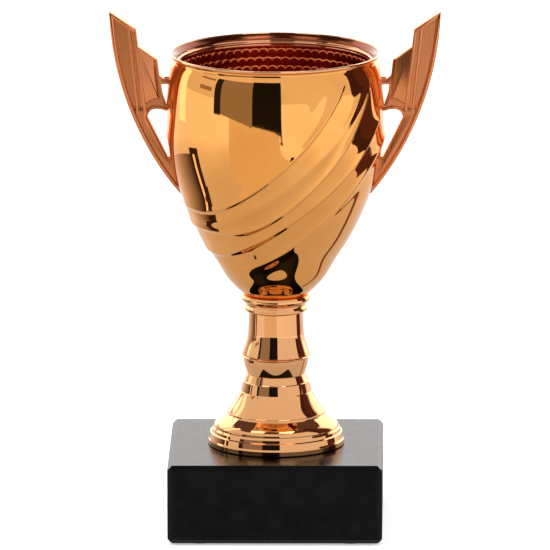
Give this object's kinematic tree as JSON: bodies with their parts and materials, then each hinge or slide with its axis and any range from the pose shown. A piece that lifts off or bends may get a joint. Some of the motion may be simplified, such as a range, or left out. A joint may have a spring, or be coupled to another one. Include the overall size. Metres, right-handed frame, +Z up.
{
  "type": "cup trophy",
  "caption": "Cup trophy: swirled double-walled bowl with wing handles on a turned stem and foot, clamped to a square stone block.",
  "frame": {"origin": "middle of the face that the trophy stands on, under the stone block", "axes": "+Z up through the stem and the bowl; the front faces -Y; the two handles lie along X"},
  "size_m": [0.0928, 0.061, 0.1467],
  "materials": {
    "mirror_copper": "mirror copper coat on moulded plastic",
    "red_copper": "mirror red-copper coat on moulded plastic",
    "satin_copper": "satin copper coat on moulded plastic",
    "black_stone": "honed black marble",
    "zinc_steel": "zinc plated",
    "pad_felt": "pressed felt"
  },
  "bodies": {
    "root": {"felt_pads": "pad_felt", "base_block": "black_stone", "base_washer": "zinc_steel", "base_lock_washer": "zinc_steel", "base_nut": "zinc_steel", "tie_rod": "zinc_steel", "foot": "mirror_copper", "knop": "mirror_copper", "stem_ring": "mirror_copper", "stem": "mirror_copper", "collar": "mirror_copper", "bowl_shell": "mirror_copper", "bowl_liner": "red_copper", "handle_left": "satin_copper", "handle_right": "satin_copper", "handle_clips": "zinc_steel", "cup_washer": "zinc_steel", "cup_lock_washer": "zinc_steel", "cup_nut": "zinc_steel"}
  },
  "joints": []
}
